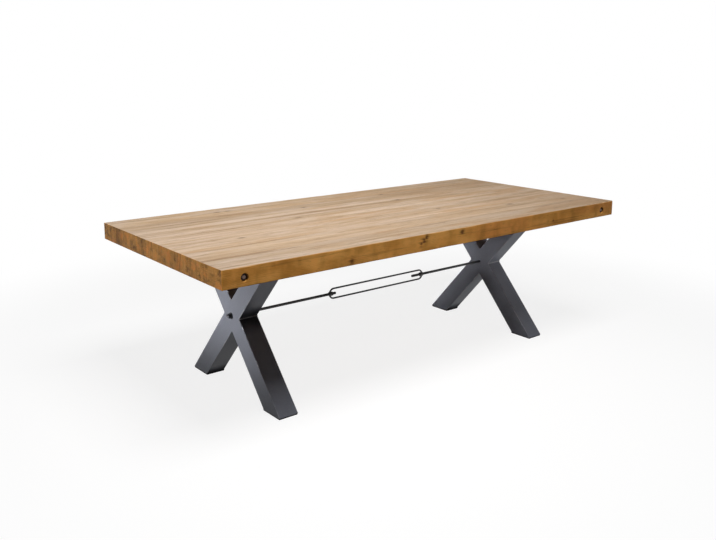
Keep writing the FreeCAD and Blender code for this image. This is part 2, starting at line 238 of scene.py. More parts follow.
def timberFinish():
    tree = Finish("topTimber", timber)
    x, y, z = tree.split(tree.place)
    facing = tree.split(tree.mark("facing", "Vector"))
    number, heartY, heartZ = tree.split(tree.mark("heart", "Vector"))
    shift = tree.vectorMaths("MULTIPLY", number, timber["ownShift"])
    tree.place = tree.vectorMaths("ADD", tree.place, shift)

    onFront = tree.ease(y, -0.50, -0.54)
    onTop = tree.ease(z, 0.756, 0.766)
    topFace = tree.times(tree.ease(facing[2], *timber["faceTurn"]), onTop)
    endFace = tree.ease(tree.size(facing[0]), *timber["faceTurn"])
    sideFace = tree.ease(tree.size(facing[1]), *timber["faceTurn"])
    knots = tree.maths("MAXIMUM",
                       knotField(tree, x, z, timber["frontKnots"], timber["frontGrowth"], onFront),
                       knotField(tree, x, y, timber["topKnots"], timber["topGrowth"], onTop))

    # growth rings round each board's heart, swung by slow waves and pushed aside by the knots
    reach = tree.length(tree.vector(0, tree.minus(y, heartY), tree.minus(z, heartZ)))
    reach = tree.heap(reach, (tree.cloud((1.5, 6, 6)), 0.06),
                      (tree.cloud((8, 45, 45)), 0.007), (knots, 0.007))
    growth = tree.maths("FRACT", tree.maths("DIVIDE", reach, timber["ringWidth"]))
    late = tree.times(tree.ease(growth, 0.3, 0.9), tree.ease(growth, 1, 0.92))

    streak = tree.cloud((1.6, 42, 42), 4, 0.62)
    band = tree.cloud((0.7, 13, 13))
    fibre = tree.cloud((15, 560, 560))
    pore = tree.ease(tree.cloud((24, 320, 320), 1), 0.61, 0.73)
    blotch = tree.cloud((5, 14, 14), 3, 0.6)
    sawn = tree.cloud((30, 100, 9), 3, 0.6)
    fleck = tree.cloud((14, 24, 9), 3)
    stain = tree.cloud((9, 17, 24), 4, 0.65)
    ragged = tree.cloud((24, 170, 170))
    darkStreak = tree.ease(streak, 0.55, 0.72)
    dash = tree.ease(tree.cloud((9, 130, 130), 3, 0.6), 0.57, 0.72)
    # patches in the wood, pushed by x so the top darkens and warms towards the right as painted shade
    patchAndShade = tree.heap(tree.cloud((2.4, 11, 11), 3, 0.6), (x, 0.07))
    cloudy = tree.spread(blotch, 0.36, 0.64)

    # painted highlight and painted shadow in bands either side of a seam
    pale = stripeField(tree, y, x, timber["seamHighlight"])
    dusky = stripeField(tree, y, x, timber["seamShadow"])
    shade = tree.heap(tree.times(darkStreak, 0.26), (late, 0.14), (tree.spread(band, 0.36, 0.64), 0.32),
                      (tree.spread(streak, 0.36, 0.64), 0.30), (tree.spread(fibre, 0.3, 0.7), 0.16),
                      clamp=True)
    shade = tree.heap(shade, (tree.times(pale, shade), -timber["seamHighlight"][2]),
                      (dusky, timber["seamShadow"][2]), clamp=True)
    top = tree.coat("topPale",
                    (tree.times(tree.mark("warm"), 0.65), "sunned"),
                    (tree.spread(patchAndShade, 0.49, 0.66, 0, 0.85), "topWarm"),
                    (tree.spread(patchAndShade, 0.48, 0.34, 0, 0.8), "topBlush"),
                    (tree.times(pale, 0.6), "topBlush"),
                    (shade, "topMid"),
                    (tree.heap(tree.times(pore, 0.24), (darkStreak, 0.16), (dash, 0.50), clamp=True),
                     "topDark"))
    edge = tree.coat("edgePale",
                     (tree.heap(tree.times(cloudy, 0.8), (late, 0.30), clamp=True), "edgeMid"),
                     (tree.spread(patchAndShade, 0.46, 0.62, 0, 0.8), "edgeWarm"),
                     (tree.times(tree.spread(fleck, 0.50, 0.68, 0, 0.6), sideFace), "edgeOrange"),
                     (tree.times(tree.spread(fleck, 0.48, 0.32, 0, 0.5), sideFace), "edgeOlive"),
                     (tree.heap(tree.times(pore, 0.30), (darkStreak, 0.40)), "edgeDark"))
    end = tree.coat("endPale",
                    (tree.heap(tree.times(cloudy, 0.55), (late, 0.45), clamp=True), "endMid"),
                    (tree.spread(stain, 0.52, 0.66, 0, 0.9), "endOrange"),
                    (tree.spread(stain, 0.46, 0.32, 0, 0.75), "endDark"),
                    (tree.times(tree.ease(sawn, 0.50, 0.72), 0.6), "endDark"))
    for seam, away, strength in timber["endStains"]:
        aside = tree.size(tree.minus(y, seam))
        end = tree.coat(end, (tree.spread(aside, away, 0, 0, strength), "endDark"))

    knotShade = tree.ease(tree.times(knots, tree.spread(ragged, 0.3, 0.7, 0.55, 1.25)), 0.45, 1.5)
    knotShade = tree.times(knotShade, tree.spread(topFace, 0, 1, 0.9, 0.72))
    knotColour = tree.coat("edgeDark", (topFace, "topDark"))
    # painted highlight along the top arrises, blotched
    paintedHighlight = tree.times(tree.mark("arris"), tree.spread(blotch, 0.3, 0.6, 0.25, 0.75))
    # upward faces take the paler top colours: partly weathering, partly painted sheen
    colour = tree.coat(edge, (topFace, top), (endFace, end), (knotShade, knotColour),
                       (paintedHighlight, "arris"))
    tone = tree.spread(topFace, 0, 1, timber["edgeTone"], tree.mark("tone"))
    tone = tree.spread(endFace, 0, 1, tone, tree.mark("endTone"))
    toned = tree.put("ShaderNodeHueSaturation", {"Color": colour, "Value": tone}, output="Color")
    relief = tree.heap(tree.times(streak, 0.7), (fibre, 0.35), (late, 0.25), (pore, -0.3),
                       (tree.times(endFace, sawn), -0.9))
    oiled = {"Specular IOR Level": 0.12}  # and not varnished
    return tree.close(toned, tree.spread(streak, 0.25, 0.75, 0.48, 0.66), (relief, 0.55, 0.9 * mm), oiled)


# satin anthracite paint on the legs

legPaint = {
    "base": srgb(106, 109, 119),
    "dusty": srgb(115, 118, 128),
    "deep": srgb(94, 96, 104),
    "worn": srgb(176, 174, 174),
    "paintedShade": srgb(20, 19, 20),  # painted shade in the corners where the tubes meet, and on the rear feet
    "corner": (67 * mm, 375 * mm),  # those corners, as (y, z)
    "cornerShadeReach": (100 * mm, 18 * mm),
    "shadeMatt": 0.55,  # roughness added where the painted shade lies
    "cornerShadeShares": (1.0, 0.1),  # on the left frame and on the right one
    "footShadeReach": (60 * mm, 8 * mm),  # heights over which painted shade darkens the rear feet
    "legX": 840 * mm,
    "shadeFreeFrom": (49.5 * mm, 43 * mm),  # the painted shade stays off the outer faces
}


def legFinish():
    tree = Finish("legSteel", legPaint)
    x, y, z = tree.split(tree.place)
    peel = tree.cloud((520, 520, 520))
    mottle = tree.cloud((9, 9, 9), 4, 0.6)
    drift = tree.cloud((2.2, 2.2, 2.2))
    speck = tree.ease(tree.cloud((900, 900, 900), 0), 0.70, 0.80)
    # painted shade in the corners where the tubes cross, stronger on the left frame
    aside = tree.minus(tree.size(y), legPaint["corner"][0])
    above = tree.minus(z, legPaint["corner"][1])
    paintedShade = tree.ease(tree.length(tree.vector(0, aside, above)), *legPaint["cornerShadeReach"])
    paintedShade = tree.times(paintedShade, tree.spread(x, -0.1, 0.1, *legPaint["cornerShadeShares"]))
    # painted shade: the rear feet darken towards the floor
    footShade = tree.times(tree.ease(z, *legPaint["footShadeReach"]), tree.ease(y, 0.1, 0.2))
    paintedShade = tree.maths("MAXIMUM", paintedShade, footShade)
    outer = tree.size(tree.minus(tree.size(x), legPaint["legX"]))
    paintedShade = tree.times(paintedShade, tree.ease(outer, *legPaint["shadeFreeFrom"]))
    paintedShade = tree.times(paintedShade, tree.spread(mottle, 0.35, 0.65, 0.8, 1))
    # paint worn at the tube corners, and a painted highlight on the weld beads
    wearAndHighlight = tree.times(tree.mark("rub"), tree.spread(mottle, 0.42, 0.62, 0.08, 0.45), clamp=True)
    colour = tree.coat("base",
                       (tree.spread(mottle, 0.35, 0.68), "dusty"),
                       (tree.spread(drift, 0.42, 0.7, 0, 0.6), "deep"),
                       (tree.times(speck, 0.3), "worn"),
                       (paintedShade, "paintedShade"),
                       (wearAndHighlight, "worn"))
    roughness = tree.spread(mottle, 0.3, 0.7, 0.38, 0.50)
    roughness = tree.heap(roughness, (paintedShade, legPaint["shadeMatt"]), clamp=True)
    satin = {"Specular IOR Level": 0.16}
    return tree.close(colour, roughness, (tree.heap(peel, (mottle, 0.5)), 0.2, 0.25 * mm), satin)


# bare steel: blackened on the tie and its turnbuckle, browned on rods, nuts, washers and screws

tieSkin = {
    "base": srgb(38, 38, 40),
    "stained": srgb(58, 57, 58),
    "bright": srgb(120, 116, 112),
    "stain": (26, 60, 60),
    "stainRoughness": 0.6,
    "stainFrom": (0.35, 0.7),
    "grit": (700, 700, 700),
    "gritFrom": (0.62, 0.76),
    "gritShare": 0.3,
    "marked": {"blackedAndShaded": (srgb(20, 20, 22), 0.85),  # the nuts and their washers: blacked steel, darkened further as painted shade
               "paintedHighlight": (srgb(128, 130, 138), 0.7)},  # painted highlight on the nuts' domes
    "gloss": (0.30, 0.44),
    "metal": 0.3,
    "relief": (0.4, 0.2, 0.15 * mm),  # share of the stain, strength, depth
}
fastenerSkin = {
    "base": srgb(92, 80, 76),
    "stained": srgb(58, 44, 38),
    "bright": srgb(132, 122, 116),
    "stain": (120, 120, 120),
    "stainRoughness": 0.65,
    "stainFrom": (0.35, 0.68),
    "grit": (300, 1400, 1400),
    "gritFrom": (0.58, 0.75),
    "gritShare": 0.35,
    "marked": {"bare": (srgb(112, 94, 86), 0.6),  # the rods' cut ends
               "oiled": (srgb(34, 26, 22), 0.8)},  # painted shade on the nuts and washers down in their counterbores
    "gloss": (0.30, 0.52),
    "metal": 0.85,
    "relief": (0.5, 0.25, 0.12 * mm),
}


def steelFinish(name, skin):
    tree = Finish(name, skin)
    stain = tree.cloud(skin["stain"], 4, skin["stainRoughness"])
    grit = tree.cloud(skin["grit"])
    colour = tree.coat("base",
                       (tree.spread(stain, *skin["stainFrom"]), "stained"),
                       (tree.times(tree.ease(grit, *skin["gritFrom"]), skin["gritShare"]), "bright"))
    for mark, (over, least) in skin["marked"].items():
        share = tree.times(tree.mark(mark), tree.spread(stain, 0.3, 0.7, 1, least))
        colour = tree.coat(colour, (share, over))
    share, strength, depth = skin["relief"]
    return tree.close(colour, tree.spread(stain, 0.3, 0.7, *skin["gloss"]),
                      (tree.heap(grit, (stain, share)), strength, depth), {"Metallic": skin["metal"]})


# black plastic of the glides

glideSkin = {
    "black": srgb(11, 11, 12),
    "scuffed": srgb(28, 27, 27),
}


def glideFinish():
    tree = Finish("glidePlastic", glideSkin)
    scuff = tree.cloud((40, 40, 160), 3, 0.6)
    colour = tree.coat("black", (tree.spread(scuff, 0.4, 0.72), "scuffed"))
    grain = tree.cloud((800, 800, 800))
    return tree.close(colour, tree.spread(scuff, 0.3, 0.7, 0.55, 0.75), (grain, 0.3, 0.12 * mm),
                      {"Specular IOR Level": 0.2})


topTimber = timberFinish()
legSteel = legFinish()
tieSteel = steelFinish("tieSteel", tieSkin)
fastenerSteel = steelFinish("fastenerSteel", fastenerSkin)
glidePlastic = glideFinish()
print("finishes mixed")


# meshes and pieces

def addObject(name, data):
    made = bpy.data.objects.new(name, data)
    scene.collection.objects.link(made)
    return made


def smooth(mesh, sharpAngle=38):
    mesh.shade_smooth()
    mesh.set_sharp_from_angle(angle=radians(sharpAngle))


def toMesh(name, bm, sharpAngle=38):
    bmesh.ops.recalc_face_normals(bm, faces=bm.faces)
    mesh = bpy.data.meshes.new(name)
    bm.to_mesh(mesh)
    bm.free()
    smooth(mesh, sharpAngle)
    return mesh


def addPiece(name, bm, material, sharpAngle=38):
    piece = addObject(name, toMesh(name, bm, sharpAngle))
    piece.data.materials.append(material)
    return piece


def attach(piece, slot, *nodes, body=None):
    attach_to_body(piece, body or frame["nodes"][nodes[0]]["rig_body"])
    if nodes:
        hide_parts(*nodes)


def bake(holder):
    graph = bpy.context.evaluated_depsgraph_get()
    mesh = bpy.data.meshes.new_from_object(holder.evaluated_get(graph))
    holder.modifiers.clear()
    holder.data = mesh


def discard(helper):
    mesh = helper.data
    bpy.data.objects.remove(helper)
    bpy.data.meshes.remove(mesh)


def cutHoles(piece, cutter):
    modifier = piece.modifiers.new("holes", "BOOLEAN")
    modifier.operation = "DIFFERENCE"
    modifier.solver = "EXACT"
    modifier.use_self = True
    modifier.object = cutter
    bake(piece)


def drillHoles(piece, bm):
    drill = addObject("drill", toMesh("drill", bm))
    cutHoles(piece, drill)
    discard(drill)


def markMesh(mesh, name, values, kind="FLOAT", domain="POINT"):
    attribute = mesh.attributes.new(name, kind, domain)
    attribute.data.foreach_set("vector" if kind == "FLOAT_VECTOR" else "value", values)


def markAll(mesh, name, value):
    markMesh(mesh, name, [value] * len(mesh.vertices))


def flatten(mesh, axes):
    for polygon in mesh.polygons:  # flat faces stay crisp beside their rounded edges
        polygon.use_smooth = all(abs(polygon.normal.dot(axis)) < 0.9995 for axis in axes)


def middle(node):
    low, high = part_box(node)
    return (low + high) / 2


def islandCentres(node):
    bm = bmesh.new()
    bm.from_mesh(frame["nodes"][node].data)
    bmesh.ops.remove_doubles(bm, verts=bm.verts, dist=1e-6)
    waiting = set(bm.verts)
    centres = []
    while waiting:
        queue = [waiting.pop()]
        island = []
        while queue:
            vert = queue.pop()
            island.append(vert.co.copy())
            for edge in vert.link_edges:
                other = edge.other_vert(vert)
                if other in waiting:
                    waiting.remove(other)
                    queue.append(other)
        low = Vector([min(co[k] for co in island) for k in range(3)])
        high = Vector([max(co[k] for co in island) for k in range(3)])
        centres.append((low + high) / 2)
    bm.free()
    return sorted(centres, key=lambda centre: [round(value, 4) for value in centre])


# skins rows of points, and closes them with end faces or back to the first row
def skinRows(rows, closed=False, bm=None):
    if bm is None:
        bm = bmesh.new()
    loops = [[bm.verts.new(spot) for spot in row] for row in rows]
    pairs = list(zip(loops, loops[1:]))
    if closed:
        pairs.append((loops[-1], loops[0]))
    for first, second in pairs:
        for k in range(len(first)):
            after = (k + 1) % len(first)
            bm.faces.new((first[k], first[after], second[after], second[k]))
    if not closed:
        bm.faces.new(loops[0])
        bm.faces.new(loops[-1])
    return bm


# rounded rectangle, with points at a margin beside its corners if that is given
def roundedLoop(low, high, radii, steps, inset=0, margin=0):
    points = []
    extra = 1 if margin else 0
    for quarter, radius in enumerate(radii):
        u = high[0] - radius if quarter in (0, 3) else low[0] + radius
        v = high[1] - radius if quarter in (0, 1) else low[1] + radius
        for k in range(-extra, steps + 1 + extra):
            turn = min(max(k, 0), steps)
            angle = pi / 2 * (quarter + turn / steps)
            slide = (k - turn) * margin
            points.append((u + (radius - inset) * cos(angle) - slide * sin(angle),
                           v + (radius - inset) * sin(angle) + slide * cos(angle)))
    return points


def ring(radius, height, hexShare=0.0, slope=0.0, thread=0.0):
    return radius, height, hexShare, slope, thread


# a lathe: rings stacked along an axis, which may go hexagonal or carry a thread
def turned(rings, start, axis, count=48, hollow=False, pitch=1.0, depth=0.0, hand=1, bm=None):
    turn = zAxis.rotation_difference(Vector(axis)).to_matrix()
    rows = []
    for radius, height, hexShare, slope, thread in rings:
        row = []
        for k in range(count):
            angle = 2 * pi * k / count
            fold = (angle + pi / 6) % (pi / 3) - pi / 6
            reach = radius * (1 + hexShare * (1 / cos(fold) - 1))
            lift = height + slope * (reach - radius)
            groove = 0.5 - 0.5 * cos(2 * pi * height / pitch - hand * angle)
            reach -= depth * thread * groove
            spot = Vector((reach * cos(angle), reach * sin(angle), lift))
            row.append(turn @ spot + Vector(start))
        rows.append(row)
    return skinRows(rows, hollow, bm)


def washerRings(inner, outer, low, high, edge):
    return [ring(inner + edge, low), ring(outer - edge, low), ring(outer, low + edge),
            ring(outer, high - edge), ring(outer - edge, high), ring(inner + edge, high),
            ring(inner, high - edge), ring(inner, low + edge)]


hexNut = {
    "shoulder": 0.95,  # of half the width over the flats
    "cut": 0.2 * mm,  # where the corners are turned off
    "slope": 0.577,
    "lead": 0.8 * mm,  # chamfer of the bore
}


def nutRings(inner, flats, low, high):
    half = flats / 2
    shoulder = half * hexNut["shoulder"]
    lead = hexNut["lead"]
    return [ring(inner + lead, low), ring(shoulder, low),
            ring(half, low + hexNut["cut"], 1, hexNut["slope"]),
            ring(half, high - hexNut["cut"], 1, -hexNut["slope"]), ring(shoulder, high),
            ring(inner + lead, high), ring(inner, high - lead), ring(inner, low + lead)]


ringsPerTurn = 8
rodThread = {
    "pitch": 2 * mm,
    "depth": 1.1 * mm,
    "chamfer": 1.4 * mm,
    "runOut": 1.5,  # turns
}


def threadedRod(start, axis, span, radius, stretches, count, hand=1):
    pitch = rodThread["pitch"]
    chamfer = rodThread["chamfer"]
    runOut = rodThread["runOut"] * pitch
    rings = [ring(radius - chamfer, 0), ring(radius - chamfer, span)]
    for low, high in stretches:  # each thread fades in and out of the plain shank
        steps = round((high - low) / pitch * ringsPerTurn)
        for k in range(1, steps):
            along = low + (high - low) * k / steps
            inside = min(along - low if low > 0 else runOut, high - along if high < span else runOut)
            cone = max(0.0, chamfer - min(along, span - along))
            rings.append(ring(radius - cone, along, thread=min(1.0, inside / runOut) * (1 - cone / chamfer)))
    rings.sort(key=lambda entry: entry[1])
    return turned(rings, start, axis, count, pitch=pitch, depth=rodThread["depth"], hand=hand)


# plate with rounded corners and eased edges
def roundedPlate(low, high, corner, edge):
    rows = []
    for z, inset in ((low.z, edge), (low.z + edge, 0), (high.z - edge, 0), (high.z, edge)):
        rows.append([(*spot, z) for spot in roundedLoop(low.xy, high.xy, [corner] * 4, 6, inset)])
    return skinRows(rows)


# geometry trees: repeated fasteners, and bars and beads that follow a path

def newTree(name, sockets):
    group = bpy.data.node_groups.new(name, "GeometryNodeTree")
    group.interface.new_socket("Geometry", in_out="OUTPUT", socket_type="NodeSocketGeometry")
    keys = {}
    for label, kind in {"Geometry": "Geometry", **sockets, "Material": "Material"}.items():
        made = group.interface.new_socket(label, in_out="INPUT", socket_type=f"NodeSocket{kind}")
        keys[label] = made.identifier
    tree = NodeTree(group)
    return tree, tree.add("NodeGroupInput").outputs, keys


def endTree(tree, geometry, material):
    real = tree.put("GeometryNodeRealizeInstances", {"Geometry": geometry})
    clad = tree.put("GeometryNodeSetMaterial", {"Geometry": real, "Material": material})
    tree.add("NodeGroupOutput", {"Geometry": clad})
    return tree.tree


def fastenerTree():
    tree, inputs, keys = newTree("fasteners", {"Template": "Object", "Axis": "Vector", "Seed": "Int"})
    shape = tree.put("GeometryNodeObjectInfo", {"Object": inputs["Template"]}, output="Geometry")
    spin = tree.put("FunctionNodeRandomValue", {3: 2 * pi, "Seed": inputs["Seed"]}, output=1)
    turn = tree.put("ShaderNodeVectorMath", {0: inputs["Axis"], "Scale": spin}, operation="SCALE")
    values = {"Points": inputs["Geometry"], "Instance": shape, "Rotation": turn}
    placed = tree.put("GeometryNodeInstanceOnPoints", values)
    return endTree(tree, placed, inputs["Material"]), keys


def sweep(tree, inputs, path, resolution, scale):
    values = {"Resolution": resolution, "Radius": inputs["Radius"]}
    profile = tree.put("GeometryNodeCurvePrimitiveCircle", values)
    values = {"Curve": path, "Profile Curve": profile, "Scale": scale, "Fill Caps": True}
    return endTree(tree, tree.put("GeometryNodeCurveToMesh", values), inputs["Material"])


def barTree():
    tree, inputs, keys = newTree("bars", {"Radius": "Float"})
    girth = tree.put("GeometryNodeInputNamedAttribute", {"Name": "girth"})
    path = tree.put("GeometryNodeMeshToCurve", {"Mesh": inputs["Geometry"]})
    return sweep(tree, inputs, path, 24, girth), keys


def weldTree():
    tree, inputs, keys = newTree("welds", {"Radius": "Float", "Ripple": "Float", "Depth": "Float"})
    path = tree.put("GeometryNodeMeshToCurve", {"Mesh": inputs["Geometry"]})
    values = {"Curve": path, "Length": tree.maths("DIVIDE", inputs["Ripple"], 5)}
    path = tree.put("GeometryNodeResampleCurve", values, mode="LENGTH")
    along = tree.put("GeometryNodeSplineParameter", output="Length")
    wave = tree.maths("SINE", tree.times(tree.maths("DIVIDE", along, inputs["Ripple"]), 2 * pi))
    spot = tree.put("GeometryNodeInputPosition")
    lump = tree.minus(tree.cloud((90, 90, 90), place=spot), 0.5)
    swell = tree.maths("ADD", wave, tree.times(lump, 3))
    return sweep(tree, inputs, path, 10, tree.maths("MULTIPLY_ADD", swell, inputs["Depth"], 1)), keys


def grow(name, points, edges, treeAndKeys, values, girth=None):
    mesh = bpy.data.meshes.new(name)
    mesh.from_pydata(points, edges, [])
    if girth:
        markMesh(mesh, "girth", girth)
    holder = addObject(name, mesh)
    modifier = holder.modifiers.new("grown", "NODES")
    modifier.node_group, keys = treeAndKeys
    for label, value in values.items():
        modifier[keys[label]] = value
    bake(holder)
    smooth(holder.data)
    return holder


fasteners = fastenerTree()
bars = barTree()
welds = weldTree()
print("geometry trees ready")


# tabletop boards

board = {
    "count": 7,
    "seamArris": 1.4 * mm,  # eased edge along a seam
    "outerArris": 2.6 * mm,  # eased edge along the front and the back
    "endArris": 1.1 * mm,  # eased edge round the sawn ends
    "endBevel": 0.29,  # where that edge turns, as a share of it
    "arrisWear": 0.9,  # how far a rubbed stretch widens its arris
    "wearWaves": (6.5, 3.7, 5.1),
    "crossCut": 20 * mm,  # spacing of the rings along a board
    "tone": (0.79, 0.90, 0.98, 1.01, 0.97, 0.94, 1.04),  # of the tops: partly the boards' own tones, partly painted shade on the front board and painted light on the rear one
    "endTone": (1.12, 1.00, 0.84, 0.96, 0.92, 0.95, 1.18),  # of the sawn ends
    "warm": (0.25, 0.45, 0.05, 0.0, 0.35, 0.6, 0.85),
    # heart of each board's trunk, as (y, z)
    "hearts": ((-0.52, 0.58), (-0.30, 0.94), (-0.16, 0.55), (0.03, 0.92), (0.15, 0.60), (0.27, 0.98),
               (0.52, 0.57)),
    "counterbore": 17 * mm,  # radius
    "mouthChamfer": 0.7 * mm,
    "seatDepth": 24 * mm,
    "rodBore": 8.5 * mm,  # radius
    "pilot": 5.08 * mm,  # radius
    "pilotTop": 741 * mm,
    "proud": 4 * mm,  # how far the cutters stand out of the wood
    "checksPerEnd": 2,  # drying cracks in the end grain
    "checkWidth": (0.5 * mm, 1.3 * mm),
    "checkHeight": (14 * mm, 46 * mm),
    "checkReach": (14 * mm, 55 * mm),
    "seed": 11,
}


def addCheck(bm, end, y, z, width, height, reach, chance):
    sway = [chance.uniform(-1.5, 1.5) * mm for k in range(4)]
    outside = end + copysign(3 * mm, end)
    outline = ((y + sway[0], z + height / 2), (y + width / 2 + sway[1], z + 0.1 * height),
               (y + sway[2], z - height / 2), (y - width / 2 + sway[1], z - 0.1 * height))
    mouth = [bm.verts.new((outside, *spot)) for spot in outline]
    tip = bm.verts.new((end - copysign(reach, end), y + sway[3], z))
    bm.faces.new(mouth)
    for k in range(4):
        bm.faces.new((mouth[k], mouth[(k + 1) % 4], tip))


def topCutter():
    bm = bmesh.new()
    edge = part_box("tabletop_board_1")[0]
    seat = edge.y + board["seatDepth"]
    half = ((board["counterbore"] + board["mouthChamfer"] + board["proud"], edge.y - board["proud"]),
            (board["counterbore"], edge.y + board["mouthChamfer"]),
            (board["counterbore"], seat), (board["rodBore"], seat))
    bores = [ring(r, y) for r, y in half] + [ring(r, -y) for r, y in reversed(half)]
    pilots = [ring(board["pilot"], edge.z - board["proud"]), ring(board["pilot"], board["pilotTop"])]
    for side in sides:
        centre = middle(f"{side}_clamp_rod")
        turned(bores, (centre.x, 0, centre.z), yAxis, count=64, bm=bm)
        for spot in islandCentres(f"{side}_plate_screws"):
            turned(pilots, (spot.x, spot.y, 0), zAxis, count=24, bm=bm)
    chance = random.Random(board["seed"])
    for number in range(1, board["count"] + 1):
        low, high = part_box(f"tabletop_board_{number}")
        for end in (low.x, high.x):
            for k in range(board["checksPerEnd"]):
                share = (k + chance.uniform(0.2, 0.8)) / board["checksPerEnd"]
                height = chance.uniform(*board["checkHeight"])
                z = chance.uniform(low.z + 0.7 * height, high.z - 0.35 * height)
                addCheck(bm, end, low.y + share * (high.y - low.y), z, chance.uniform(*board["checkWidth"]),
                         height, chance.uniform(*board["checkReach"]), chance)
    return addObject("top_cutter", toMesh("top_cutter", bm))


def boardRadii(number, x):
    outer = {1: (1, 2), board["count"]: (0, 3)}.get(number, ())
    waveX, waveNumber, waveQuarter = board["wearWaves"]
    radii = []
    for quarter in range(4):
        radius = board["outerArris"] if quarter in outer else board["seamArris"]
        rub = max(0.0, noise.noise(Vector((x * waveX, number * waveNumber, quarter * waveQuarter))))
        radii.append(radius * (1 + board["arrisWear"] * 2 * rub))
    return radii


def boardMesh(number, low, high):
    arris = board["endArris"]
    bevel = board["endBevel"] * arris
    plain = high.x - low.x - 2 * arris
    count = round(plain / board["crossCut"])
    stations = [(low.x, arris), (low.x + bevel, bevel)]
    stations += [(low.x + arris + plain * k / count, 0.0) for k in range(count + 1)]
    stations += [(high.x - bevel, bevel), (high.x, arris)]
    rows = []
    for x, inset in stations:
        loop = roundedLoop(low.yz, high.yz, boardRadii(number, x), 3, inset)
        rows.append([(x, *spot) for spot in loop])
    return skinRows(rows)


def markBoard(mesh, number, low, high):
    heart = (number * 1.37, *board["hearts"][number - 1])
    markMesh(mesh, "heart", heart * len(mesh.vertices), "FLOAT_VECTOR")
    for name in ("tone", "endTone", "warm"):
        markAll(mesh, name, board[name][number - 1])
    tiny = 1e-5
    rounded = 6 * mm
    arris = []
    for vert in mesh.vertices:  # only points inside a rounded top edge
        below = high.z - vert.co.z
        end = min(vert.co.x - low.x, high.x - vert.co.x)
        eased = tiny < end < 0.9 * board["endArris"] and tiny < below < 1.5 * mm
        if number in (1, board["count"]) and end > 0.99 * board["endArris"]:
            inwards = vert.co.y - low.y if number == 1 else high.y - vert.co.y
            eased = tiny < below < rounded and tiny < inwards < rounded
        arris.append(float(eased))
    markMesh(mesh, "arris", arris)
    normals = [value for polygon in mesh.polygons for value in polygon.normal]
    markMesh(mesh, "facing", normals, "FLOAT_VECTOR", "FACE")


cutter = topCutter()
for number in range(1, board["count"] + 1):
    node = f"tabletop_board_{number}"
    low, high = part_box(node)
    piece = addPiece(f"board_{number}", boardMesh(number, low, high), topTimber)
    cutHoles(piece, cutter)
    flatten(piece.data, (xAxis, yAxis, zAxis))
    markBoard(piece.data, number, low, high)
    attach(piece, "top_timber", node)
discard(cutter)
print("boards planed and bored")


# clamping rods through the boards

clamp = {
    "threaded": 46 * mm,  # length of thread at each end
    "nutFlats": 24 * mm,
    "nutThick": 13 * mm,
    "nutBore": 8.08 * mm,  # radius
    "washerOuter": 15 * mm,  # radius
    "washerThick": 3 * mm,
    "washerEdge": 0.4 * mm,
    "seed": 4,
}


def repeat(name, template, spots, axis, seed):
    values = {"Template": template, "Axis": axis, "Seed": seed, "Material": fastenerSteel}
    return grow(name, spots, [], fasteners, values)


def clampSet(name, node, rings):
    template = addPiece(f"{name}_template", turned(rings, origin, yAxis, hollow=True), fastenerSteel)
    piece = repeat(name, template, islandCentres(node), yAxis, clamp["seed"])
    discard(template)
    # painted shade: darkens these nuts and washers deep in the counterbores
    markAll(piece.data, "oiled", 1.0)
    attach(piece, "fastener_steel", node)


for side in sides:
    node = f"{side}_clamp_rod"
    low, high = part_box(node)
    span = high.y - low.y
    stretches = ((0, clamp["threaded"]), (span - clamp["threaded"], span))
    start = ((low.x + high.x) / 2, low.y, (low.z + high.z) / 2)
    bm = threadedRod(start, yAxis, span, (high.x - low.x) / 2, stretches, 32)
    piece = addPiece(f"{side}_clamping_rod", bm, fastenerSteel)
    bare = [float(abs(face.normal.y) > 0.6 and face.center.length > 0.5) for face in piece.data.polygons]
    markMesh(piece.data, "bare", bare, domain="FACE")
    attach(piece, "fastener_steel", node)
clampSet("clamping_nuts", "clamp_rod_nuts",
         nutRings(clamp["nutBore"], clamp["nutFlats"], -clamp["nutThick"] / 2, clamp["nutThick"] / 2))
clampSet("clamping_washers", "clamp_rod_washers",
         washerRings(clamp["nutBore"], clamp["washerOuter"], -clamp["washerThick"] / 2,
                     clamp["washerThick"] / 2, clamp["washerEdge"]))
print("clamping rods in")


# crossed legs of square tube

leg = {
    "corner": 4 * mm,  # outside radius of the tube's corners
    "innerCorner": 1 * mm,
    "wall": 4 * mm,
    "rubMargin": 3 * mm,  # strip beside a corner where rubbed paint fades out
    "cornerSteps": 4,
    "rodClearance": 0.3 * mm,
    "weldRadius": 4.6 * mm,
    "weldRipple": 5 * mm,
    "weldDepth": 0.09,
    "weldHighlight": 1.4,  # painted highlight: how strongly the beads take the lighter worn colour
    "plateCorner": 4 * mm,
    "plateEdge": 0.8 * mm,
    "plateHole": 5.5 * mm,  # radius
    "drillProud": (9 * mm, 5 * mm),  # past the tube and past the plate
    "capCorner": 4 * mm,
    "capEdge": 0.6 * mm,
    "capSharp": 30,  # degrees
    "glideEdge": 1 * mm,
}


def tubeSection(half, radius):
    return roundedLoop((-half, -half), (half, half), [radius] * 4, leg["cornerSteps"],
                       margin=leg["rubMargin"])


def squareTo(axis):
    return Vector((0, -axis.z, axis.y))


def sawTube(centre, axis, half, lowCut, highCut):
    normal = squareTo(axis)
    outer = tubeSection(half, leg["corner"])
    inner = tubeSection(half - leg["wall"], leg["innerCorner"])
    rows = []
    for section, cut in ((outer, lowCut), (outer, highCut), (inner, highCut), (inner, lowCut)):
        rows.append([centre + u * xAxis + v * normal + cut(u, v, axis, normal) * axis for u, v in section])
    return skinRows(rows, closed=True)


def levelCut(z, centre):
    return lambda u, v, axis, normal: (z - centre.z - v * normal.z) / axis.z


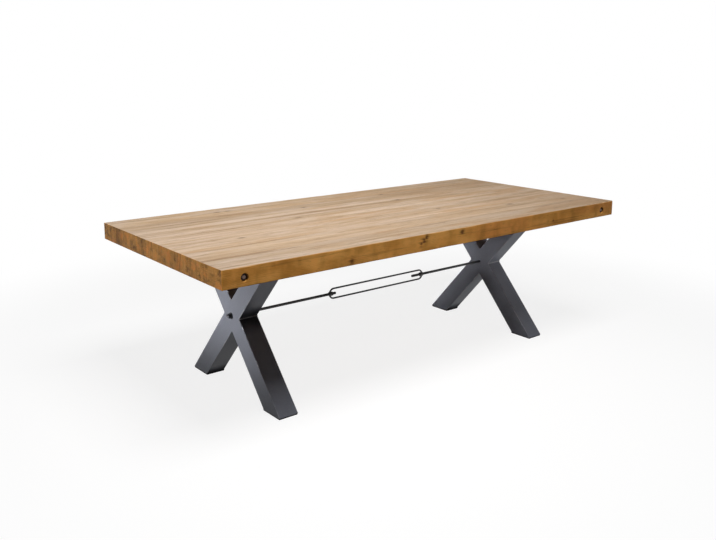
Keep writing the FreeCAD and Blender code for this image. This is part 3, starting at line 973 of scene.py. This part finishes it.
# against the rounded side of the long leg, towards which "across" points
def saddleCut(across, half):
    def cut(u, v, axis, normal):
        over = max(0.0, abs(u) - half + leg["corner"])
        side = half - leg["corner"] + sqrt(max(0.0, leg["corner"] ** 2 - over ** 2))
        return (side - v * normal.dot(across)) / axis.dot(across)
    return cut


def markTube(mesh, centre, axis, half):
    normal = squareTo(axis)
    rounded = half - 0.9 * leg["corner"]
    rub = []
    for vert in mesh.vertices:
        offset = vert.co - centre
        rub.append(float(abs(offset.x) > rounded and abs(offset.dot(normal)) > rounded))
    markMesh(mesh, "rub", rub)
    flatten(mesh, (xAxis, normal, zAxis))


def cornerLine(centre, axis, across, half, edge):
    normal = squareTo(axis)
    reach = (half - edge * half * normal.dot(across)) / axis.dot(across)
    spot = centre + edge * half * normal + reach * axis
    return [spot - (half - leg["corner"] / 2) * xAxis, spot + (half - leg["corner"] / 2) * xAxis]


for side, sign in sides.items():
    sleeve = f"{side}_crossing_sleeve"
    capLow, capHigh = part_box(f"{side}_front_foot_cap")
    plateLow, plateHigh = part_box(f"{side}_top_plate")
    rodLow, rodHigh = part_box(f"{side}_tie_rod")
    centre = middle(sleeve)
    half = (capHigh.x - capLow.x) / 2
    rise = centre.z - capHigh.z
    run = abs(capLow.y + capHigh.y) / 2
    longAxis = Vector((0, -sign * run, rise)).normalized()
    armAxis = Vector((0, sign * run, rise)).normalized()
    across = squareTo(longAxis)
    across *= copysign(1, across.dot(armAxis))
    foot = levelCut(capHigh.z, centre)
    head = levelCut(plateLow.z, centre)
    tubes = {"long_leg": (longAxis, foot, head), "upper_arm": (armAxis, saddleCut(across, half), head),
             "short_leg": (armAxis, foot, saddleCut(-across, half))}
    tubeProud, plateProud = leg["drillProud"]
    for name, (axis, lowCut, highCut) in tubes.items():
        piece = addPiece(f"{side}_{name}_tube", sawTube(centre, axis, half, lowCut, highCut), legSteel)
        if name == "long_leg":
            bore = (rodHigh.z - rodLow.z) / 2 + leg["rodClearance"]
            rings = [ring(bore, -half - tubeProud), ring(bore, half + tubeProud)]
            drillHoles(piece, turned(rings, centre, xAxis))
        markTube(piece.data, centre, axis, half)
        attach(piece, "leg_steel", f"{side}_{name}")
    frame["nodes"][sleeve].material_slots[0].material = legSteel

    points = []
    edges = []
    for direction in (across, -across):
        for edge in (-1, 1):
            first = len(points)
            points += cornerLine(centre, armAxis, direction, half, edge)
            edges.append((first, first + 1))
    cutHalf = (capHigh.y - capLow.y) / 2
    topY = run * (plateLow.z - centre.z) / rise
    for y in (-topY, topY):
        first = len(points)
        for u, v in ((half, cutHalf), (-half, cutHalf), (-half, -cutHalf), (half, -cutHalf)):
            points.append(Vector((centre.x + u, y + v, plateLow.z)))
        edges += [(first + k, first + (k + 1) % 4) for k in range(4)]
    values = {"Radius": leg["weldRadius"], "Ripple": leg["weldRipple"], "Depth": leg["weldDepth"],
              "Material": legSteel}
    beads = grow(f"{side}_welds", points, edges, welds, values)
    # painted highlight on the weld beads, through the rub mark
    markAll(beads.data, "rub", leg["weldHighlight"])
    attach(beads, "leg_steel", body="frame")

    bm = roundedPlate(plateLow, plateHigh, leg["plateCorner"], leg["plateEdge"])
    plate = addPiece(f"{side}_plate", bm, legSteel)
    bm = bmesh.new()
    rings = [ring(leg["plateHole"], z) for z in (plateLow.z - plateProud, plateHigh.z + plateProud)]
    for spot in islandCentres(f"{side}_plate_screws"):
        turned(rings, (spot.x, spot.y, 0), zAxis, count=32, bm=bm)
    drillHoles(plate, bm)
    flatten(plate.data, (xAxis, yAxis, zAxis))
    attach(plate, "leg_steel", f"{side}_top_plate")

    for end in ("front", "rear"):
        node = f"{side}_{end}_foot_cap"
        bm = roundedPlate(*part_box(node), leg["capCorner"], leg["capEdge"])
        attach(addPiece(f"{side}_{end}_cap", bm, legSteel, leg["capSharp"]), "leg_steel", node)
        node = f"{side}_{end}_glide"
        bm = roundedPlate(*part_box(node), leg["capCorner"], leg["glideEdge"])
        attach(addPiece(f"{side}_{end}_slider", bm, glidePlastic, leg["capSharp"]), "glide_plastic", node)
print("legs welded up")


# coach screws and washers under the plates

screw = {
    "headFlats": 17 * mm,
    "headHeight": 7 * mm,
    "shank": 5 * mm,  # radius
    "length": 60 * mm,
    "tip": 9 * mm,
    "plain": 14 * mm,  # unthreaded neck
    "pitch": 4.5 * mm,
    "threadDepth": 1.2 * mm,
    "washerOuter": 12 * mm,
    "washerThick": 2 * mm,
    "washerEdge": 0.3 * mm,
    "seed": 7,
}


def screwTemplate():
    half = screw["headFlats"] / 2
    head = screw["headHeight"]
    rings = [ring(half * 0.35, -head), ring(half * 0.9, -head + 0.35 * mm),
             ring(half, -head + 0.8 * mm, 1, 0.5), ring(half, -0.4 * mm, 1, -0.2),
             ring(half * 0.97, 0), ring(screw["shank"], 0)]
    threaded = screw["length"] - screw["plain"]
    count = round(threaded / screw["pitch"] * ringsPerTurn)
    for k in range(count + 1):
        height = screw["plain"] + threaded * k / count
        taper = min(1.0, (screw["length"] - height) / screw["tip"])
        depth = min(1.0, k / ringsPerTurn) * taper
        rings.append(ring(max(0.2 * mm, screw["shank"] * taper), height, thread=depth))
    bm = turned(rings, origin, zAxis, count=24, pitch=screw["pitch"], depth=screw["threadDepth"])
    return addPiece("screw_template", bm, fastenerSteel)


def washerTemplate():
    rings = washerRings(leg["plateHole"], screw["washerOuter"], 0, screw["washerThick"], screw["washerEdge"])
    return addPiece("washer_template", turned(rings, origin, zAxis, hollow=True), fastenerSteel)


templates = {"screws": screwTemplate(), "washers": washerTemplate()}
for side, sign in sides.items():
    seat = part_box(f"{side}_plate_washers")[0].z
    spots = [Vector((spot.x, spot.y, seat)) for spot in islandCentres(f"{side}_plate_washers")]
    for kind, template in templates.items():
        piece = repeat(f"{side}_{kind}", template, spots, zAxis, screw["seed"] + sign)
        attach(piece, "fastener_steel", f"{side}_plate_{kind}")
for template in templates.values():
    discard(template)
print("plates screwed up")


# tie rods with their washers and domed nuts

tie = {
    "nutThread": 46 * mm,  # length of thread at the outer end
    "turnThread": 120 * mm,  # length of thread at the turnbuckle
    "washerEdge": 0.4 * mm,
    "nutFlats": 22 * mm,
    "nutHex": 11 * mm,
    "nutNeck": 4 * mm,
    "nutBore": 7.08 * mm,  # radius
    "nutLead": 0.7 * mm,
    "nutBlind": 18 * mm,
    "dome": 10 * mm,  # radius
}


def domedNut(seat, axis):
    half = tie["nutFlats"] / 2
    neck = tie["nutHex"] + tie["nutNeck"]
    rings = [ring(tie["nutBore"], tie["nutBlind"]), ring(tie["nutBore"], tie["nutLead"]),
             ring(tie["nutBore"] + tie["nutLead"], 0), ring(half * hexNut["shoulder"], 0),
             ring(half, hexNut["cut"], 1, hexNut["slope"]),
             ring(half, tie["nutHex"] - hexNut["cut"], 1, -hexNut["slope"]),
             ring(half * 0.955, tie["nutHex"]), ring(tie["dome"], tie["nutHex"] + 0.1 * mm)]
    for k in range(13):
        angle = pi / 2 * k / 12.5
        rings.append(ring(tie["dome"] * cos(angle), neck + tie["dome"] * sin(angle)))
    return turned(rings, seat, axis)


for side, sign in sides.items():
    low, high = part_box(f"{side}_tie_rod")
    radius = (high.z - low.z) / 2
    start = Vector((low.x if sign < 0 else high.x, 0, (low.z + high.z) / 2))
    span = high.x - low.x
    stretches = ((0, tie["nutThread"]), (span - tie["turnThread"], span))
    bm = threadedRod(start, -sign * xAxis, span, radius, stretches, 28, hand=sign)
    attach(addPiece(f"{side}_tie_bar", bm, tieSteel), "tie_steel", f"{side}_tie_rod")

    low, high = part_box(f"{side}_tie_washer")
    rings = washerRings(radius + leg["rodClearance"], (high.z - low.z) / 2, low.x, high.x, tie["washerEdge"])
    disc = addPiece(f"{side}_tie_disc", turned(rings, (0, 0, start.z), xAxis, hollow=True), tieSteel)
    # blacked washer, darkened further as painted shade
    markAll(disc.data, "blackedAndShaded", 1.0)
    attach(disc, "tie_steel", f"{side}_tie_washer")

    seat = high.x if sign > 0 else low.x
    cap = addPiece(f"{side}_tie_cap", domedNut((seat, 0, start.z), sign * xAxis), tieSteel)
    # blacked nut, darkened further as painted shade, with a painted highlight on its dome
    markAll(cap.data, "blackedAndShaded", 1.0)
    crown = tie["nutHex"] + tie["nutNeck"]
    markMesh(cap.data, "paintedHighlight", [float(abs(vert.co.x - seat) > crown) for vert in cap.data.vertices])
    attach(cap, "tie_steel", f"{side}_tie_nut")
print("tie rods threaded")


# turnbuckle: two bent rails welded to a boss at each end

turnbuckle = {
    "bend": 25.5 * mm,  # radius of the bends
    "bendSteps": 12,
    "endAngle": 69,  # degrees of bend before the bar meets its boss
    "flare": 1.22,  # weld round the bar at its boss
    "bossBore": 7.08 * mm,  # radius
    "bossEdge": 0.8 * mm,
}
axisZ = middle("turnbuckle_left_boss").z
for rail, sign in {"upper": 1, "lower": -1}.items():
    node = f"turnbuckle_{rail}_rail"
    low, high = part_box(node)
    barRadius = (high.y - low.y) / 2
    bend = turnbuckle["bend"]
    steps = turnbuckle["bendSteps"]
    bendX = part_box("turnbuckle_right_boss")[1].x - bend - barRadius
    points = []
    girth = []
    for end in (-1, 1):
        for k in range(steps + 1)[::end]:
            angle = radians(turnbuckle["endAngle"]) * k / steps
            x = end * (bendX + bend * sin(angle))
            points.append(Vector((x, 0, axisZ + sign * bend * cos(angle))))
            girth.append(1 + (turnbuckle["flare"] - 1) * max(0, k + 2 - steps) / 2)
    edges = [(k, k + 1) for k in range(len(points) - 1)]
    values = {"Radius": barRadius, "Material": tieSteel}
    attach(grow(f"{rail}_rail", points, edges, bars, values, girth), "tie_steel", node)

for side in sides:
    node = f"turnbuckle_{side}_boss"
    low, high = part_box(node)
    rings = washerRings(turnbuckle["bossBore"], (high.z - low.z) / 2, low.x, high.x, turnbuckle["bossEdge"])
    bm = turned(rings, (0, 0, axisZ), xAxis, hollow=True)
    attach(addPiece(f"{side}_boss", bm, tieSteel), "tie_steel", node)
print("turnbuckle bent")


# floor, light and camera

stage = {
    "floorSize": 40.0,
    "floorDrop": 0.2 * mm,
    "floorTone": (0.335, 0.32, 0.305, 1.0),
    "shadowTone": (0.22, 0.22, 0.22, 1.0),
    "floorGlow": 0.845,
    "plainFrom": (1.7, 3.2),  # distance over which the floor turns plain white
    "skyFill": 0.06,
}


def seenRays(tree):
    rays = tree.add("ShaderNodeLightPath").outputs
    bounced = tree.maths("MAXIMUM", rays["Is Glossy Ray"], rays["Is Transmission Ray"])
    return tree.maths("MAXIMUM", rays["Is Camera Ray"], bounced)


def stageFloor():
    tree = Finish("paleFloor", stage)
    plain = tree.ease(tree.length(tree.place), *stage["plainFrom"])
    lit = tree.put("ShaderNodeBsdfDiffuse", {"Color": stage["floorTone"]})
    shadow = tree.put("ShaderNodeBsdfDiffuse", {"Color": stage["shadowTone"]})
    glow = tree.put("ShaderNodeEmission", {"Strength": stage["floorGlow"]})
    white = tree.put("ShaderNodeEmission", {"Strength": 1.0})
    near = tree.put("ShaderNodeAddShader", {0: shadow, 1: glow})
    shown = tree.put("ShaderNodeMixShader", {0: plain, 1: near, 2: white})
    top = tree.put("ShaderNodeMixShader", {0: seenRays(tree), 1: lit, 2: shown})
    under = tree.put("ShaderNodeNewGeometry", output="Backfacing")
    clear = tree.put("ShaderNodeBsdfTransparent")
    both = tree.put("ShaderNodeMixShader", {0: under, 1: top, 2: clear})
    tree.add("ShaderNodeOutputMaterial", {"Surface": both})
    half = stage["floorSize"] / 2
    corners = ((-half, -half), (half, -half), (half, half), (-half, half))
    mesh = bpy.data.meshes.new("floor")
    mesh.from_pydata([(x, y, -stage["floorDrop"]) for x, y in corners], [], [(0, 1, 2, 3)])
    mesh.materials.append(tree.material)
    addObject("floor", mesh)


def stageSky():
    scene.world = bpy.data.worlds.new("studio")
    scene.world.use_nodes = True
    tree = NodeTree(scene.world.node_tree)
    strength = tree.spread(seenRays(tree), 0, 1, stage["skyFill"], 1)
    sky = tree.put("ShaderNodeBackground", {"Color": (1, 1, 1, 1), "Strength": strength})
    tree.add("ShaderNodeOutputWorld", {"Surface": sky})


# place, aim, size, power, spread in degrees, and whether glossy faces mirror it
lamps = {
    "overhead": ((-0.6, -1.5, 4.0), (-0.6, -0.15, 0.7), (2.4, 1.6), 64.5, 126, True),
    "side": ((-4.2, 0.37, 0.39), (-0.9, 0.37, 0.38), (1.3, 0.2), 2.2, 14, True),
    "end": ((-4.2, -0.48, 0.95), (-1.25, -0.48, 0.80), (2.1, 0.2), 2.1, 12, False),
    "low": ((2.4, -3.4, 0.12), (0.84, 0, 0.38), (0.8, 0.2), 0.48, 14, True),
}


def hangLamps():
    for name, (place, aim, size, power, spread, mirrored) in lamps.items():
        light = bpy.data.lights.new(name, "AREA")
        light.shape = "RECTANGLE"
        light.size, light.size_y = size
        light.energy = power
        light.spread = radians(spread)
        hung = addObject(name, light)
        hung.location = place
        hung.rotation_euler = (Vector(aim) - Vector(place)).to_track_quat("-Z", "Y").to_euler()
        hung.visible_camera = False
        hung.visible_glossy = mirrored


eye = {
    "place": (-2.6444, -3.1259, 1.5265),
    "azimuth": -38.7374,
    "elevation": 10.4831,
    "roll": 0.142,  # degrees, as held in the hand
    "lens": 39.876,
    "sensor": 36,
    "shiftY": -0.0826,
}


def setCamera():
    camera = bpy.data.cameras.new("eye")
    camera.lens = eye["lens"]
    camera.sensor_width = eye["sensor"]
    camera.shift_y = eye["shiftY"]
    stand = addObject("eye", camera)
    azimuth = radians(eye["azimuth"])
    elevation = radians(eye["elevation"])
    back = Vector((sin(azimuth) * cos(elevation), -cos(azimuth) * cos(elevation),
                   sin(elevation)))
    stand.location = eye["place"]
    turn = (-back).to_track_quat("-Z", "Y") @ Quaternion((0, 0, 1), radians(eye["roll"]))
    stand.rotation_euler = turn.to_euler()
    scene.camera = stand


stageFloor()
stageSky()
hangLamps()
setCamera()
print("stage set")
